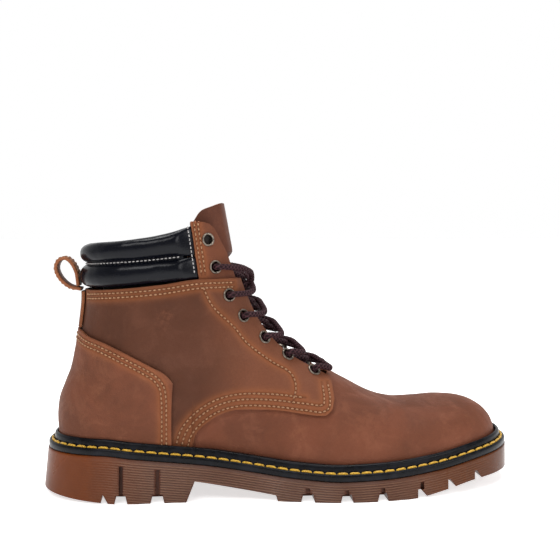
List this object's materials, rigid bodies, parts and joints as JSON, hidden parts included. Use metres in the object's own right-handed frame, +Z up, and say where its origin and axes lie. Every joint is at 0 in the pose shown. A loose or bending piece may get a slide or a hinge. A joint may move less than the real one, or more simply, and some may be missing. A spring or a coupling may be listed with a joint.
{
  "type": "steel toe work boot",
  "caption": "Right-foot lace-up ankle work boot: brown leather upper, padded two-roll collar, stitched welt, lugged gum-rubber sole and a steel toe cap inside.",
  "frame": {"origin": "centre of the footprint, on the ground under the sole", "axes": "+X towards the toe, +Z up, so -Y is the lateral (outer) side of this right boot"},
  "size_m": [0.3068, 0.1142, 0.184],
  "materials": {
    "brown_leather": "oiled nubuck, dull with light wear marks",
    "tan_leather": "oiled nubuck with raw cut edges",
    "collar_leather": "smooth coated leather, semi-gloss",
    "black_rubber": "smooth, satin",
    "gum_rubber": "slightly translucent gum, finely ribbed sides",
    "lining_cloth": "close-woven lining",
    "steel": "pressed sheet",
    "eyelet_metal": "antique, rolled edge",
    "lace_cord": "round braid",
    "lace_tip_plastic": "rolled tip",
    "fibre_board": "pressed fibre",
    "cork": "granulated cork",
    "foam": "cloth-faced foam"
  },
  "bodies": {
    "boot": {"outsole": "gum_rubber", "welt": "black_rubber", "midsole_filler": "cork", "steel_shank": "steel", "insole_board": "fibre_board", "steel_toe_cap": "steel", "toe_cap_strip": "foam", "vamp": "brown_leather", "vamp_lining": "lining_cloth", "quarter_lateral": "brown_leather", "quarter_medial": "brown_leather", "quarter_lining": "lining_cloth", "heel_cover": "brown_leather", "heel_stiffener": "fibre_board", "backstay": "brown_leather", "facing_lateral": "brown_leather", "facing_medial": "brown_leather", "collar_roll_upper": "collar_leather", "collar_roll_lower": "collar_leather", "collar_lining": "lining_cloth", "tongue": "brown_leather", "lace": "lace_cord", "lace_tip_lateral": "lace_tip_plastic", "lace_tip_medial": "lace_tip_plastic", "eyelet_lateral_1": "eyelet_metal", "eyelet_lateral_2": "eyelet_metal", "eyelet_lateral_3": "eyelet_metal", "eyelet_lateral_4": "eyelet_metal", "eyelet_lateral_5": "eyelet_metal", "eyelet_lateral_6": "eyelet_metal", "eyelet_lateral_7": "eyelet_metal", "eyelet_medial_1": "eyelet_metal", "eyelet_medial_2": "eyelet_metal", "eyelet_medial_3": "eyelet_metal", "eyelet_medial_4": "eyelet_metal", "eyelet_medial_5": "eyelet_metal", "eyelet_medial_6": "eyelet_metal", "eyelet_medial_7": "eyelet_metal"},
    "tongue_top": {"tongue_top": "brown_leather"},
    "pull_loop": {"pull_loop": "tan_leather"},
    "footbed": {"footbed": "foam"}
  },
  "joints": [
    {"name": "tongue_tip_back", "type": "hinge", "parent": "boot", "child": "tongue_top", "pos_m": [-0.05773, -0.00274, 0.1508], "axis": [0, -1, 0], "range_deg": [0, 12], "stiffness_Nm_per_rad": 0.05},
    {"name": "pull_loop_fold", "type": "hinge", "parent": "boot", "child": "pull_loop", "pos_m": [-0.13213, -0.00274, 0.1284], "axis": [0, -1, 0], "range_deg": [0, 60], "stiffness_Nm_per_rad": 0.02},
    {"name": "footbed_lift", "type": "hinge", "parent": "boot", "child": "footbed", "pos_m": [0.135, -0.00274, 0.03], "axis": [0, 1, 0], "range_deg": [0, 4]}
  ]
}
